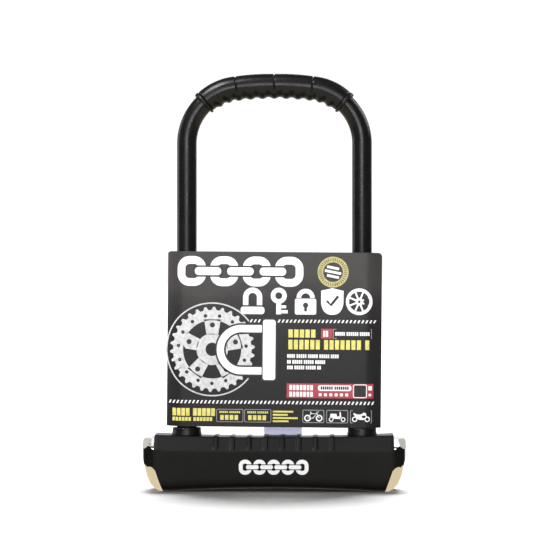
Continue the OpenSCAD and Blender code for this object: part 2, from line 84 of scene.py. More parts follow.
CARD_BASE_Z = COLLAR_TOP + 0.1
CARD_H = 129.0
CARD_Y = 8.2
CARD_HALF = 79.0


# ---- small helpers

def smoothstep(low, high, value):
    t = min(max((value - low) / (high - low), 0.0), 1.0)
    return t * t * (3 - 2 * t)


def spread(low, high, count):
    """count + 1 evenly spaced values from low to high."""
    return [low + (high - low) * i / count for i in range(count + 1)]


def new_object(name, points, faces, materials, smooth=True):
    """A mesh object from points in millimetres, with its normals turned outwards."""
    mesh = bpy.data.meshes.new(name)
    mesh.from_pydata([Vector(p) * MM for p in points], [], faces)
    obj = bpy.data.objects.new(name, mesh)
    scene.collection.objects.link(obj)
    for material in materials:
        mesh.materials.append(material)
    work = bmesh.new()
    work.from_mesh(mesh)
    bmesh.ops.recalc_face_normals(work, faces=work.faces)
    work.to_mesh(mesh)
    work.free()
    for polygon in mesh.polygons:
        polygon.use_smooth = smooth
    return obj


def ring_faces(ring_count, side_count):
    """Quads between consecutive rings, and from the last ring back to the first."""
    faces = []
    for i in range(ring_count):
        here, there = i * side_count, (i + 1) % ring_count * side_count
        for j in range(side_count):
            k = (j + 1) % side_count
            faces.append((here + j, here + k, there + k, there + j))
    return faces


def ring_object(name, rings, materials):
    """A closed shell from rings of equal point count, joined in a cycle."""
    points = [p for ring in rings for p in ring]
    return new_object(name, points, ring_faces(len(rings), len(rings[0])), materials)


def piece(obj, body, slot, *replaced):
    """Rides a finished object on its body and hides the CAD nodes it stands for; slot is not used."""
    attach(obj, body)
    if replaced:
        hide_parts(*replaced)
    return obj


def bake_modifiers(obj):
    graph = bpy.context.evaluated_depsgraph_get()
    mesh = bpy.data.meshes.new_from_object(obj.evaluated_get(graph))
    old = obj.data
    obj.modifiers.clear()
    obj.data = mesh
    mesh.name = old.name
    bpy.data.meshes.remove(old)


def combine(obj, operation, others):
    """Cuts the others out of obj (DIFFERENCE) or keeps what they share (INTERSECT), then removes them."""
    for other in others:
        modifier = obj.modifiers.new("combine", "BOOLEAN")
        modifier.operation = operation
        modifier.solver = "EXACT"
        modifier.object = other
    bake_modifiers(obj)
    for other in others:
        bpy.data.objects.remove(other)


def shade(obj, degrees):
    """Smooth shading, with sharp edges where faces meet at more than the angle."""
    for polygon in obj.data.polygons:
        polygon.use_smooth = True
    obj.data.set_sharp_from_angle(angle=radians(degrees))


def prism(name, outline, low, high, axis="Z"):
    """An outline extruded along one axis. The outline is (x, y), (x, z) for axis Y, or (y, z) for X."""
    place = {
        "Z": lambda a, b, c: (a, b, c),
        "Y": lambda a, b, c: (a, c, b),
        "X": lambda a, b, c: (c, a, b),
    }[axis]
    count = len(outline)
    points = [place(a, b, c) for c in (low, high) for a, b in outline]
    faces = [tuple(range(count)), tuple(range(count, 2 * count))]
    for i in range(count):
        j = (i + 1) % count
        faces.append((i, j, count + j, count + i))
    return new_object(name, points, faces, [], smooth=False)


def around(x, y, r, a):
    """The point at radius r and angle a round a centre."""
    return x + r * cos(a), y + r * sin(a)


def circle(r, x=0.0, y=0.0, count=96):
    return [around(x, y, r, 2 * pi * i / count) for i in range(count)]


def rounded(corners, segments=10):
    """A closed outline whose corners (x, y, radius) are rounded with true arcs."""
    outline = []
    count = len(corners)
    for i in range(count):
        x, y, r = corners[i]
        here = Vector((x, y))
        before = (Vector(corners[i - 1][:2]) - here).normalized()
        after = (Vector(corners[(i + 1) % count][:2]) - here).normalized()
        half = before.angle(after) / 2
        middle = here + (before + after).normalized() * (r / sin(half))
        start = here + before * (r / tan(half)) - middle
        end = here + after * (r / tan(half)) - middle
        turn = start.angle_signed(end) if r > 0 else 0.0
        for k in range(segments + 1):
            a = -turn * k / segments
            c, s = cos(a), sin(a)
            outline.append(tuple(middle + Vector((c * start.x - s * start.y, s * start.x + c * start.y))))
    return outline


def inset_box(x0, z0, x1, z1, radius, inset, segments):
    """A round-cornered outline that lies inside a box by an even distance."""
    x0, z0, x1, z1 = x0 + inset, z0 + inset, x1 - inset, z1 - inset
    return rounded([(x0, z0, radius), (x1, z0, radius), (x1, z1, radius), (x0, z1, radius)], segments)


def without_repeats(outline):
    """The outline with no point equal to the one before it."""
    return [p for i, p in enumerate(outline) if p != outline[i - 1]]


def lathe(name, profile, x, y, materials, sides=96):
    """A closed ring turned about the vertical axis at x, y from a closed profile of (radius, z)."""
    rings = [[(x + px, y + py, z) for px, py in circle(r, count=sides)] for r, z in profile]
    return ring_object(name, rings, materials)


# ---- the shackle's path

def path_at(s):
    """Centre (x, z) and the angle of the outward normal at s millimetres along from the crown's middle."""
    side = 1 if s >= 0 else -1
    s = abs(s)
    if s <= CROWN_HALF:
        angle = pi / 2 - s / CROWN_R
        x, z = CROWN_R * cos(angle), CROWN_Z + CROWN_R * sin(angle)
    elif s <= CROWN_HALF + CORNER_LEN:
        angle = pi / 2 - BEND_TURN - (s - CROWN_HALF) / CORNER_R
        x, z = BEND_X + CORNER_R * cos(angle), BEND_Z + CORNER_R * sin(angle)
    else:
        angle = 0.0
        x, z = LEG_X, BEND_Z - (s - CROWN_HALF - CORNER_LEN)
    return side * x, z, side * cos(angle), sin(angle)


def path_ring(s, radius, sides=64):
    """A ring round the path. radius is a number, or a function of the angle from the outer side."""
    x, z, nx, nz = path_at(s)
    ring = []
    for i in range(sides):
        a = 2 * pi * i / sides
        r = radius(a) if callable(radius) else radius
        out, across = r * cos(a), r * sin(a)
        ring.append((x + nx * out, across, z + nz * out))
    return ring


# ---- materials

def node_material(name, rough, metallic=0.0, specular=0.5):
    """A new node material, returned with its nodes, links and principled shader."""
    material = bpy.data.materials.new(name)
    material.use_nodes = True
    nodes, links = material.node_tree.nodes, material.node_tree.links
    shader = nodes["Principled BSDF"]
    shader.inputs["Roughness"].default_value = rough
    shader.inputs["Metallic"].default_value = metallic
    shader.inputs["Specular IOR Level"].default_value = specular
    return material, nodes, links, shader


def noise(nodes, links, scale, detail=3.0, stretch=None):
    """A noise texture over object coordinates in metres, stretched along an axis when asked."""
    texture = nodes.new("ShaderNodeTexNoise")
    texture.inputs["Scale"].default_value = scale
    texture.inputs["Detail"].default_value = detail
    coords = nodes.new("ShaderNodeTexCoord")
    if stretch:
        mapping = nodes.new("ShaderNodeMapping")
        mapping.inputs["Scale"].default_value = stretch
        links.new(coords.outputs["Object"], mapping.inputs["Vector"])
        links.new(mapping.outputs["Vector"], texture.inputs["Vector"])
    else:
        links.new(coords.outputs["Object"], texture.inputs["Vector"])
    return texture.outputs["Fac"]


def ramp(nodes, links, source, stops):
    """A colour ramp from (position, grey or colour) stops."""
    node = nodes.new("ShaderNodeValToRGB")
    elements = node.color_ramp.elements
    for i, (position, value) in enumerate(stops):
        element = elements[i] if i < 2 else elements.new(position)
        element.position = position
        rgb = value if isinstance(value, tuple) else (value, value, value)
        element.color = (*rgb, 1.0)
    links.new(source, node.inputs["Fac"])
    return node.outputs["Color"]


def bump(nodes, links, shader, *layers):
    """Chains bump nodes, each (height source, distance in metres, strength), into the shader's normal."""
    last = None
    for source, distance, strength in layers:
        node = nodes.new("ShaderNodeBump")
        node.inputs["Distance"].default_value = distance
        node.inputs["Strength"].default_value = strength
        links.new(source, node.inputs["Height"])
        if last:
            links.new(last, node.inputs["Normal"])
        last = node.outputs["Normal"]
    links.new(last, shader.inputs["Normal"])


def worn_edges(nodes, links, source, low, high, amount):
    """Adds a pale wear to a colour where the surface's edges point outwards."""
    geometry = nodes.new("ShaderNodeNewGeometry")
    wear = ramp(nodes, links, geometry.outputs["Pointiness"], [(low, 0.0), (high, 1.0)])
    mix = nodes.new("ShaderNodeMix")
    mix.data_type = "RGBA"
    mix.blend_type = "ADD"
    mix.inputs["B"].default_value = (amount, amount, amount, 1)
    links.new(wear, mix.inputs["Factor"])
    links.new(source, mix.inputs["A"])
    return mix.outputs["Result"]


def moulded(name, dark, light, rough, grain, depth, specular=0.5, wear=0.0, unevenness=0.07):
    """Moulded rubber or plastic: mottled colour, uneven gloss and a fine matt grain."""
    material, nodes, links, shader = node_material(name, rough, specular=specular)
    patches = noise(nodes, links, 55, 4)
    colour = ramp(nodes, links, patches, [(0.3, dark), (0.72, light)])
    if wear:
        colour = worn_edges(nodes, links, colour, 0.52, 0.6, wear)
    links.new(colour, shader.inputs["Base Color"])
    smudges = noise(nodes, links, 130, 5)
    gloss = ramp(nodes, links, smudges, [(0.25, rough - unevenness), (0.8, rough + unevenness)])
    links.new(gloss, shader.inputs["Roughness"])
    fine = noise(nodes, links, grain, 2)
    bump(nodes, links, shader, (patches, depth * 4, 0.25), (fine, depth, 0.6))
    return material


def metal(name, dark, light, rough, stretch=None, scale=900, depth=0.00003, unevenness=0.08):
    """Machined or plated metal: faint tone changes, smears in the gloss and tool marks along stretch."""
    material, nodes, links, shader = node_material(name, rough, metallic=1.0)
    patches = noise(nodes, links, 60, 3)
    links.new(ramp(nodes, links, patches, [(0.3, dark), (0.7, light)]), shader.inputs["Base Color"])
    marks = noise(nodes, links, scale, 3, stretch)
    low, high = max(rough - unevenness, 0.03), rough + unevenness
    links.new(ramp(nodes, links, marks, [(0.3, low), (0.75, high)]), shader.inputs["Roughness"])
    bump(nodes, links, shader, (marks, depth, 0.35))
    return material


COVER_RUBBER = moulded("cover_rubber", 0.0044, 0.0064, 0.5, 3200, 0.00002, specular=0.18, wear=0.006)
GRIP_RUBBER = moulded("grip_rubber", 0.0058, 0.0080, 0.32, 2600, 0.000006, specular=0.32, wear=0.005)
VINYL = moulded("coating_vinyl", 0.0055, 0.0072, 0.3, 1500, 0.000002, specular=0.34)
HARD_PLASTIC = moulded("hard_plastic", 0.0036, 0.0052, 0.4, 2600, 0.000006, specular=0.35, wear=0.004)
CHROME = metal("plated_chrome", (0.83, 0.80, 0.73), (0.90, 0.87, 0.81), 0.09,
               scale=300, depth=0.000006, unevenness=0.03)
HARD_STEEL = metal("hardened_steel", (0.46, 0.46, 0.47), (0.60, 0.60, 0.61), 0.26, (1, 1, 14))
TUBE_STEEL = metal("tube_steel", (0.34, 0.35, 0.36), (0.46, 0.46, 0.47), 0.38, (14, 1, 1))
BRASS = metal("brass", (0.62, 0.44, 0.16), (0.78, 0.58, 0.25), 0.24, (1, 1, 10))
DISC_BRASS = metal("disc_brass", (0.66, 0.50, 0.22), (0.80, 0.63, 0.32), 0.3, (1, 8, 1))
SPRING_STEEL = metal("spring_steel", (0.22, 0.22, 0.24), (0.34, 0.34, 0.36), 0.34)
CORE_FACE = metal("core_face_steel", (0.42, 0.42, 0.44), (0.55, 0.55, 0.57), 0.22, (8, 1, 1))


def card_material():
    """Printed card: charcoal ink with a random mottle and a painted sheen that lightens it towards the top,
    with paper fibre and a satin varnish.
    """
    material, nodes, links, shader = node_material("printed_card", 0.42, specular=0.3)
    coords = nodes.new("ShaderNodeTexCoord")
    split = nodes.new("ShaderNodeSeparateXYZ")
    links.new(coords.outputs["Object"], split.inputs["Vector"])
    height = nodes.new("ShaderNodeMapRange")
    height.inputs["From Min"].default_value = CARD_BASE_Z * MM
    height.inputs["From Max"].default_value = (CARD_BASE_Z + CARD_H) * MM
    links.new(split.outputs["Z"], height.inputs["Value"])
    clouds = noise(nodes, links, 28, 4)
    mottle_and_sheen = nodes.new("ShaderNodeMath")
    mottle_and_sheen.operation = "MULTIPLY_ADD"
    mottle_and_sheen.inputs[1].default_value = 0.35
    links.new(clouds, mottle_and_sheen.inputs[0])
    links.new(height.outputs["Result"], mottle_and_sheen.inputs[2])
    # painted sheen: the ramp turns the charcoal ink lighter towards the top of the card, over a random mottle
    colour = ramp(nodes, links, mottle_and_sheen.outputs["Value"], [
        (0.15, (0.015, 0.014, 0.016)), (0.7, (0.019, 0.0175, 0.019)), (0.9, (0.030, 0.027, 0.028)),
        (1.0, (0.050, 0.045, 0.045)),
    ])
    links.new(colour, shader.inputs["Base Color"])
    fibre = noise(nodes, links, 1400, 5, (0.4, 1, 1))
    links.new(ramp(nodes, links, fibre, [(0.3, 0.34), (0.75, 0.5)]), shader.inputs["Roughness"])
    bump(nodes, links, shader, (noise(nodes, links, 22, 2), 0.0012, 0.2), (fibre, 0.00004, 0.4))
    return material


def ink(name, dark, light, rough=0.38):
    """Printed ink with a faint mottle and the card's fibre showing through."""
    material, nodes, links, shader = node_material(name, rough)
    links.new(ramp(nodes, links, noise(nodes, links, 420, 4), [(0.3, dark), (0.7, light)]),
              shader.inputs["Base Color"])
    fibre = noise(nodes, links, 1400, 5, (0.4, 1, 1))
    gloss = ramp(nodes, links, fibre, [(0.3, rough - 0.08), (0.75, rough + 0.1)])
    links.new(gloss, shader.inputs["Roughness"])
    bump(nodes, links, shader, (fibre, 0.00003, 0.35))
    return material


CARD = card_material()
RAW_CARD = ink("raw_card_back", (0.42, 0.43, 0.58), (0.50, 0.51, 0.66), 0.7)
WHITE_INK = ink("white_ink", (0.86, 0.85, 0.85), (0.94, 0.93, 0.93))
BLACK_INK = ink("black_ink", (0.012, 0.012, 0.013), (0.02, 0.02, 0.022))
YELLOW_INK = ink("yellow_ink", (0.60, 0.55, 0.11), (0.78, 0.71, 0.20))
RED_INK = ink("red_ink", (0.36, 0.03, 0.05), (0.48, 0.05, 0.07))
GOLD_INK = ink("gold_ink", (0.36, 0.31, 0.09), (0.52, 0.47, 0.20), 0.3)
PALE_INK = ink("pale_ink", (0.46, 0.46, 0.46), (0.66, 0.66, 0.66))
GREY_INK = ink("grey_ink", (0.26, 0.25, 0.25), (0.36, 0.35, 0.35))

MATERIAL_NODES = [
    (TUBE_STEEL, ["crossbar_tube"]),
    (HARD_STEEL, [
        "left_end_plug", "right_end_plug", "cap_pins", "left_socket_bush", "right_socket_bush", "housing_pin",
        "disc_spacers", "sidebar", "cam_plate", "left_bolt", "right_bolt", "left_bolt_pin", "right_bolt_pin",
        "shackle_rod",
    ]),
    (BRASS, ["left_bolt_guide", "right_bolt_guide", "cylinder_housing", "lock_core"]),
    (DISC_BRASS, ["disc_tumblers"]),
    (CORE_FACE, ["core_face"]),
    (SPRING_STEEL, ["core_circlip", "cam_screw"]),
    (HARD_PLASTIC, [
        "keyway_bezel", "keyway_shutter", "left_collar", "right_collar", "left_grip_ring", "right_grip_ring",
    ]),
    (COVER_RUBBER, ["bar_cover"]),
    (GRIP_RUBBER, ["crown_grip"]),
    (VINYL, ["shackle_coating"]),
    (CHROME, ["left_end_cap", "right_end_cap"]),
    (CARD, ["retail_sleeve"]),
]
for material, names in MATERIAL_NODES:
    for name in names:
        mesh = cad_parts[name].data
        mesh.materials.clear()
        mesh.materials.append(material)


# ---- shackle coating, grip and rings

def path_steps(low, high, straight=6.0, bent=1.2):
    """Distances along the path, close together on the bends."""
    steps = [low]
    while steps[-1] < high - 0.01:
        on_leg = abs(steps[-1]) > CROWN_HALF + CORNER_LEN + straight
        steps.append(min(steps[-1] + (straight if on_leg else bent), high))
    return steps


COAT_LIP = 0.25
COAT_GAP = 0.03
GRIP_GAP = 0.02


def make_coating():
    outer = [path_ring(s, LEG_R) for s in path_steps(-HALF_LEN + COAT_LIP, HALF_LEN - COAT_LIP)]
    ends = [(COAT_LIP * 0.3, 0.1), (0.0, 0.24)]
    right = [path_ring(HALF_LEN - s, LEG_R - drop) for s, drop in ends]
    left = [path_ring(-HALF_LEN + s, LEG_R - drop) for s, drop in reversed(ends)]
    bore = [path_ring(s, ROD_R + COAT_GAP) for s in reversed(path_steps(-HALF_LEN, HALF_LEN))]
    obj = ring_object("shackle_vinyl_coating", left + outer + right + bore, [VINYL])
    piece(obj, "shackle", "vinyl", "shackle_coating")


FINGER_PITCH = 9.0
FINGER_COUNT = 5
FINGER_LIFT = 1.3
GROOVE_SPACING = 28.0
GROOVE_HALF_W = 0.55
GROOVE_DEPTH = 0.75
GRIP_SWELL = 0.16
GRIP_SINK = 0.12
RIM_DROP = 0.45


def grip_radius(s):
    """The grip's radius round the rod at s: an eccentric round with finger bumps below and grooves above."""
    nearest = round(s / FINGER_PITCH)
    off = abs(s - nearest * FINGER_PITCH)
    finger = FINGER_LIFT * (1 - smoothstep(0.4, 4.2, off)) if abs(nearest) <= FINGER_COUNT else 0.0
    groove_off = min(abs(s - k * GROOVE_SPACING) for k in (-1, 0, 1))
    groove = GROOVE_DEPTH * (1 - smoothstep(0.15, GROOVE_HALF_W, groove_off))
    segment = min(groove_off, GRIP_HALF - abs(s))
    swell = GRIP_SWELL * smoothstep(0, 9, segment)
    rim = RIM_DROP * (1 - smoothstep(0, 0.7, GRIP_HALF - abs(s)))

    def radius(a):
        below = smoothstep(0.2, 1.0, -cos(a))
        above = smoothstep(-0.75, -0.2, cos(a))
        return GRIP_R + GRIP_LIFT * cos(a) + finger * below + (swell - GRIP_SINK - groove) * above - rim

    return radius


def make_grip():
    outer = [path_ring(s, grip_radius(s), 72) for s in spread(-GRIP_HALF, GRIP_HALF, 330)]
    bore = [path_ring(s, LEG_R + GRIP_GAP, 72) for s in spread(GRIP_HALF, -GRIP_HALF, 90)]
    obj = ring_object("crown_finger_grip", outer + bore, [GRIP_RUBBER])
    piece(obj, "shackle", "grip_rubber", "crown_grip")


RING_W = 3.0
RING_R = 9.2
RING_SHOULDER = 1.1


def make_grip_ring(side, name, node):
    """A round-shouldered bead ring at one end of the grip."""
    low, high = GRIP_HALF + 0.05, GRIP_HALF + RING_W
    r = RING_SHOULDER
    turns = spread(0, pi / 2, 6)
    profile = [(low + r - r * cos(t), RING_R - r + r * sin(t)) for t in turns]
    profile += [(high - r + r * sin(t), RING_R - r + r * cos(t)) for t in turns]
    profile += [(high, LEG_R + GRIP_GAP), (low, LEG_R + GRIP_GAP)]
    rings = [path_ring(side * s, radius, 72) for s, radius in profile]
    piece(ring_object(name, rings, [HARD_PLASTIC]), "shackle", "hard_plastic", node)


make_coating()
make_grip()
make_grip_ring(-1, "left_bead_ring", "left_grip_ring")
make_grip_ring(1, "right_bead_ring", "right_grip_ring")


# ---- collars

COLLAR_LOW_Z = 38.2
COLLAR_BORE = LEG_R + 0.3
COLLAR_LIP = 0.55
COLLAR_SKIRT = [
    (COLLAR_R, 40.5), (10.8, 40.65), (11.0, 41.0), (10.95, 41.5), (COLLAR_R + 0.12, 43.1), (COLLAR_R, 43.5),
]


def make_collar(side, name, node):
    """A lipped collar round one leg, with a flared skirt that laps the cover."""
    top, lip = COLLAR_TOP, COLLAR_LIP
    turns = spread(0, pi / 2, 5)
    profile = [(COLLAR_BORE, COLLAR_LOW_Z), (COLLAR_R, COLLAR_LOW_Z)] + COLLAR_SKIRT
    profile += [(COLLAR_R - lip + lip * cos(t), top - lip + lip * sin(t)) for t in turns]
    profile += [(COLLAR_BORE + lip - lip * sin(t), top - lip + lip * cos(t)) for t in turns]
    obj = lathe(name, profile, side * LEG_X, 0, [HARD_PLASTIC])
    shade(obj, 35)
    piece(obj, "crossbar", "hard_plastic", node)


make_collar(-1, "left_leg_collar", "left_collar")
make_collar(1, "right_leg_collar", "right_collar")


# ---- crossbar cover

RIB_PITCH = 12.2
RIB_COUNT = 8
RIB_H = 0.7
SIDE_WAIST = 1.2
TOP_SAG = 2.0
BASE_SAG = 2.2
WAIST_HALF = 75.0
BEVEL_Z = 31.0
BEVEL_Y = 11.0
MIDDLE_Z = 20.0
COVER_EDGE = 0.7
KEY_HOLE_R = 11.5


def side_half_depth(x):
    return HALF_DEPTH - SIDE_WAIST * (1 - (x / COVER_HALF) ** 2)


def cover_end_x(z):
    """Half length of the cover at a height: slanted in towards the floor."""
    return COVER_HALF if z >= SLANT_Z else COVER_FOOT + (COVER_HALF - COVER_FOOT) * z / SLANT_Z


def subdivided(outline, longest):
    """The outline with long straight stretches divided."""
    points = []
    for i, (x, y) in enumerate(outline):
        nx, ny = outline[(i + 1) % len(outline)]
        count = max(1, ceil(hypot(nx - x, ny - y) / longest))
        points += [(x + (nx - x) * k / count, y + (ny - y) * k / count) for k in range(count)]
    return points


def outline_normals(outline):
    count = len(outline)
    normals = []
    for i in range(count):
        (ax, ay), (bx, by) = outline[i - 1], outline[(i + 1) % count]
        length = hypot(bx - ax, by - ay)
        normals.append(((by - ay) / length, -(bx - ax) / length))
    return normals


def rib_height(x, z):
    """How far the ribs stand out at a place along the bar and a height on its section."""
    first = (RIB_COUNT - 1) / 2 * RIB_PITCH
    nearest = min(abs(x + first - i * RIB_PITCH) for i in range(RIB_COUNT))
    return RIB_H * (1 - smoothstep(1.15, 2.05, nearest)) * smoothstep(31.8, 33.4, z)


def cover_point(x, y, z):
    """Bends a point of the end section to the waisted, arched bar at x."""
    top_drop = TOP_SAG * (1 - (x / COVER_HALF) ** 2)
    base_rise = BASE_SAG * max(0.0, 1 - (x / WAIST_HALF) ** 2)
    y *= side_half_depth(x) / HALF_DEPTH
    if z > MIDDLE_Z:
        z -= top_drop * (z - MIDDLE_Z) / (COVER_H - MIDDLE_Z)
    else:
        z += base_rise * (1 - z / MIDDLE_Z)
    return x, y, z


def cover_section():
    """The cover's end section, its outward normals and the matching points of the tube's bore."""
    section = without_repeats(rounded([
        (-HALF_DEPTH, 0, 8), (HALF_DEPTH, 0, 8), (HALF_DEPTH, BEVEL_Z, 2.2),
        (BEVEL_Y, COVER_H, 2.6), (-BEVEL_Y, COVER_H, 2.6), (-HALF_DEPTH, BEVEL_Z, 2.2),
    ], 8))
    section = subdivided(section, 2.2)
    normals = outline_normals(section)
    if normals[0][1] > 0:
        normals = [(-ny, -nz) for ny, nz in normals]
    bore = []
    for y, z in section:
        length = hypot(y, z - TUBE_Z)
        bore.append((TUBE_R * y / length, TUBE_Z + TUBE_R * (z - TUBE_Z) / length))
    return section, normals, bore


def cover_cutters():
    """The holes for the collars and the lock, and the seat of the keyway bezel."""
    cutters = [prism("hole", circle(COLLAR_R + 0.02, side * LEG_X), TUBE_Z, COVER_H + 5) for side in (-1, 1)]
    cutters.append(prism("hole", circle(KEY_HOLE_R), -1, TUBE_Z))
    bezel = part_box("keyway_bezel")[1] / MM
    half_w = bezel.y
    turns = spread(-pi / 2, pi / 2, 32)
    stadium = [(bezel.x - half_w + half_w * cos(t), half_w * sin(t)) for t in turns]
    stadium += [(-x, -y) for x, y in stadium]
    return cutters + [prism("hole", stadium, -1, bezel.z)]


def make_cover():
    section, normals, bore = cover_section()
    rib_zone = RIB_PITCH * RIB_COUNT / 2
    inner_stations = spread(-rib_zone, rib_zone, 260)
    outer_stations = spread(rib_zone, COVER_HALF - COVER_EDGE, 16)[1:]
    stations = [-x for x in reversed(outer_stations)] + inner_stations + outer_stations

    def ring_at(x, inset):
        ring = []
        for (y, z), (ny, nz) in zip(section, normals):
            rise = rib_height(x, z) - inset
            px = x / COVER_HALF * cover_end_x(z)
            ring.append(cover_point(px, y + ny * rise, z + nz * rise))
        return ring

    rings = [ring_at(x, 0.0) for x in stations]
    edge = COVER_EDGE
    turns = spread(0, pi / 2, 4)[1:]
    steps = [(edge * sin(t), edge * (1 - cos(t))) for t in turns]
    right_edge = [ring_at(COVER_HALF - edge + out, inset) for out, inset in steps]
    left_edge = [ring_at(-COVER_HALF + edge - out, inset) for out, inset in reversed(steps)]
    bores = [[(u * cover_end_x(z), y, z) for y, z in bore] for u in spread(1, -1, 24)]
    obj = ring_object("rubber_bar_cover", left_edge + rings + right_edge + bores, [COVER_RUBBER])
    combine(obj, "DIFFERENCE", cover_cutters())
    shade(obj, 32)
    piece(obj, "crossbar", "cover_rubber", "bar_cover")


make_cover()


# ---- chrome end caps

CAP_HALF_DEPTH = 18.0
CAP_TOP = 38.6
CAP_BEVEL_Z = 32.5
CAP_BEVEL_Y = 12.6
CAP_CORNER_R = 10.0
CAP_BASE_R = 8.0
CAP_EDGE = 1.5
CAP_PIN_R = 1.5
CAP_PIN_X = 86
CAP_PIN_TOP = 13.5
CAP_HEEL = [(83.5, 0), (87, 1.5), (91, 5), (93.5, 11), (95.5, 20.5), (BAR_HALF, 26)]
CAP_FACETS = [
    ((86.5, -CAP_HALF_DEPTH, 15), (0.408, -0.833, -0.373)),
    ((95.7, -13, 20), (0.80, -0.46, -0.38)),
    ((89.8, -CAP_HALF_DEPTH, 36.2), (0.753, -0.366, 0.547)),
]


def keep_inside(obj, point, normal):
    """Cuts away everything on the outer side of a plane and closes the cut."""
    work = bmesh.new()
    work.from_mesh(obj.data)
    geometry = work.verts[:] + work.edges[:] + work.faces[:]
    cut = bmesh.ops.bisect_plane(
        work, geom=geometry, plane_co=Vector(point) * MM, plane_no=Vector(normal), clear_outer=True)
    edges = [e for e in cut["geom_cut"] if isinstance(e, bmesh.types.BMEdge)]
    bmesh.ops.contextual_create(work, geom=edges)
    work.to_mesh(obj.data)
    work.free()


def cap_views():
    """The cap's side, end and top outlines."""
    inner_x = COVER_HALF + 0.05
    side_view = [(COVER_FOOT + 0.05, 0)] + CAP_HEEL
    side_view += [(BAR_HALF, CAP_TOP - CAP_EDGE), (BAR_HALF - CAP_EDGE, CAP_TOP)]
    side_view += [(inner_x, CAP_TOP), (inner_x, SLANT_Z)]
    end_view = rounded([
        (-CAP_HALF_DEPTH, 0, CAP_BASE_R), (CAP_HALF_DEPTH, 0, CAP_BASE_R), (CAP_HALF_DEPTH, CAP_BEVEL_Z, 5.0),
        (CAP_BEVEL_Y, CAP_TOP, 0.0), (-CAP_BEVEL_Y, CAP_TOP, 0.0), (-CAP_HALF_DEPTH, CAP_BEVEL_Z, 5.0),
    ], 12)
    far = BAR_HALF + 0.001
    top_view = rounded([
        (70, -CAP_HALF_DEPTH - 0.5, 0.0), (far, -CAP_HALF_DEPTH, CAP_CORNER_R),
        (far, CAP_HALF_DEPTH, CAP_CORNER_R), (70, CAP_HALF_DEPTH + 0.5, 0.0),
    ], 14)
    return side_view, without_repeats(end_view), without_repeats(top_view)


def soften_edges(obj):
    """Merges what the cuts left double and rounds every edge of the block."""
    work = bmesh.new()
    work.from_mesh(obj.data)
    bmesh.ops.remove_doubles(work, verts=work.verts, dist=0.02 * MM)
    bmesh.ops.dissolve_limit(work, angle_limit=radians(0.5), verts=work.verts, edges=work.edges)
    bmesh.ops.recalc_face_normals(work, faces=work.faces)
    work.to_mesh(obj.data)
    work.free()
    soften = obj.modifiers.new("soften", "BEVEL")
    soften.width = 0.55 * MM
    soften.segments = 3
    soften.limit_method = "ANGLE"
    soften.angle_limit = radians(16)
    bake_modifiers(obj)


def make_cap(side, name, node):
    """One plated cap, cut from its three views, with three facets front and back and softened edges."""
    side_view, end_view, top_view = cap_views()
    obj = prism(name, side_view, -25, 25, "Y")
    for other in (prism("view", end_view, 60, 110, "X"), prism("view", top_view, -5, 60, "Z")):
        combine(obj, "INTERSECT", [other])
    for (x, y, z), (nx, ny, nz) in CAP_FACETS:
        keep_inside(obj, (x, y, z), (nx, ny, nz))
        keep_inside(obj, (x, -y, z), (nx, -ny, nz))
    soften_edges(obj)
    bore = prism("hole", [(y, TUBE_Z + z) for y, z in circle(TUBE_R + 0.01)], 60, 89, "X")
    pin = prism("hole", circle(CAP_PIN_R, CAP_PIN_X), -1, CAP_PIN_TOP)
    combine(obj, "DIFFERENCE", [bore, pin])
    if side < 0:
        obj.data.transform(Matrix.Scale(-1, 4, (1, 0, 0)))
        obj.data.flip_normals()
    shade(obj, 28)
    even = obj.modifiers.new("even", "WEIGHTED_NORMAL")
    even.keep_sharp = True
    bake_modifiers(obj)
    obj.data.materials.clear()
    obj.data.materials.append(CHROME)
    piece(obj, "crossbar", "chrome", node)


make_cap(-1, "left_plated_cap", "left_end_cap")
make_cap(1, "right_plated_cap", "right_end_cap")


# ---- printed card sleeve

CARD_T = 0.5
WRAP_X = 67.0
FOLD_HALF_Y = 1.1
CARD_LEAN = 0.0085
CARD_CORNER = 3.0
FOLD_BULGE = 0.22


def card_front(x):
    """How far the card's outer face stands from the middle plane at x: flat, then wrapped round the legs."""
    out = abs(x) - WRAP_X
    if out <= 0:
        return CARD_Y
    t = min(out / (CARD_HALF - WRAP_X), 1.0)
    return FOLD_HALF_Y + (CARD_Y - FOLD_HALF_Y) * (1 - t ** 1.9)


def card_place(x, y, z):
    """Hangs the card a little crooked: its left side sits higher, and its top is pushed to the right."""
    lean = CARD_LEAN * (CARD_HALF - x)
    sway = CARD_LEAN * (z - CARD_BASE_Z - CARD_H / 2)
    return x + sway, y, z + lean


def on_card_front(x, z, lift):
    return card_place(x, -card_front(x) - lift, z)


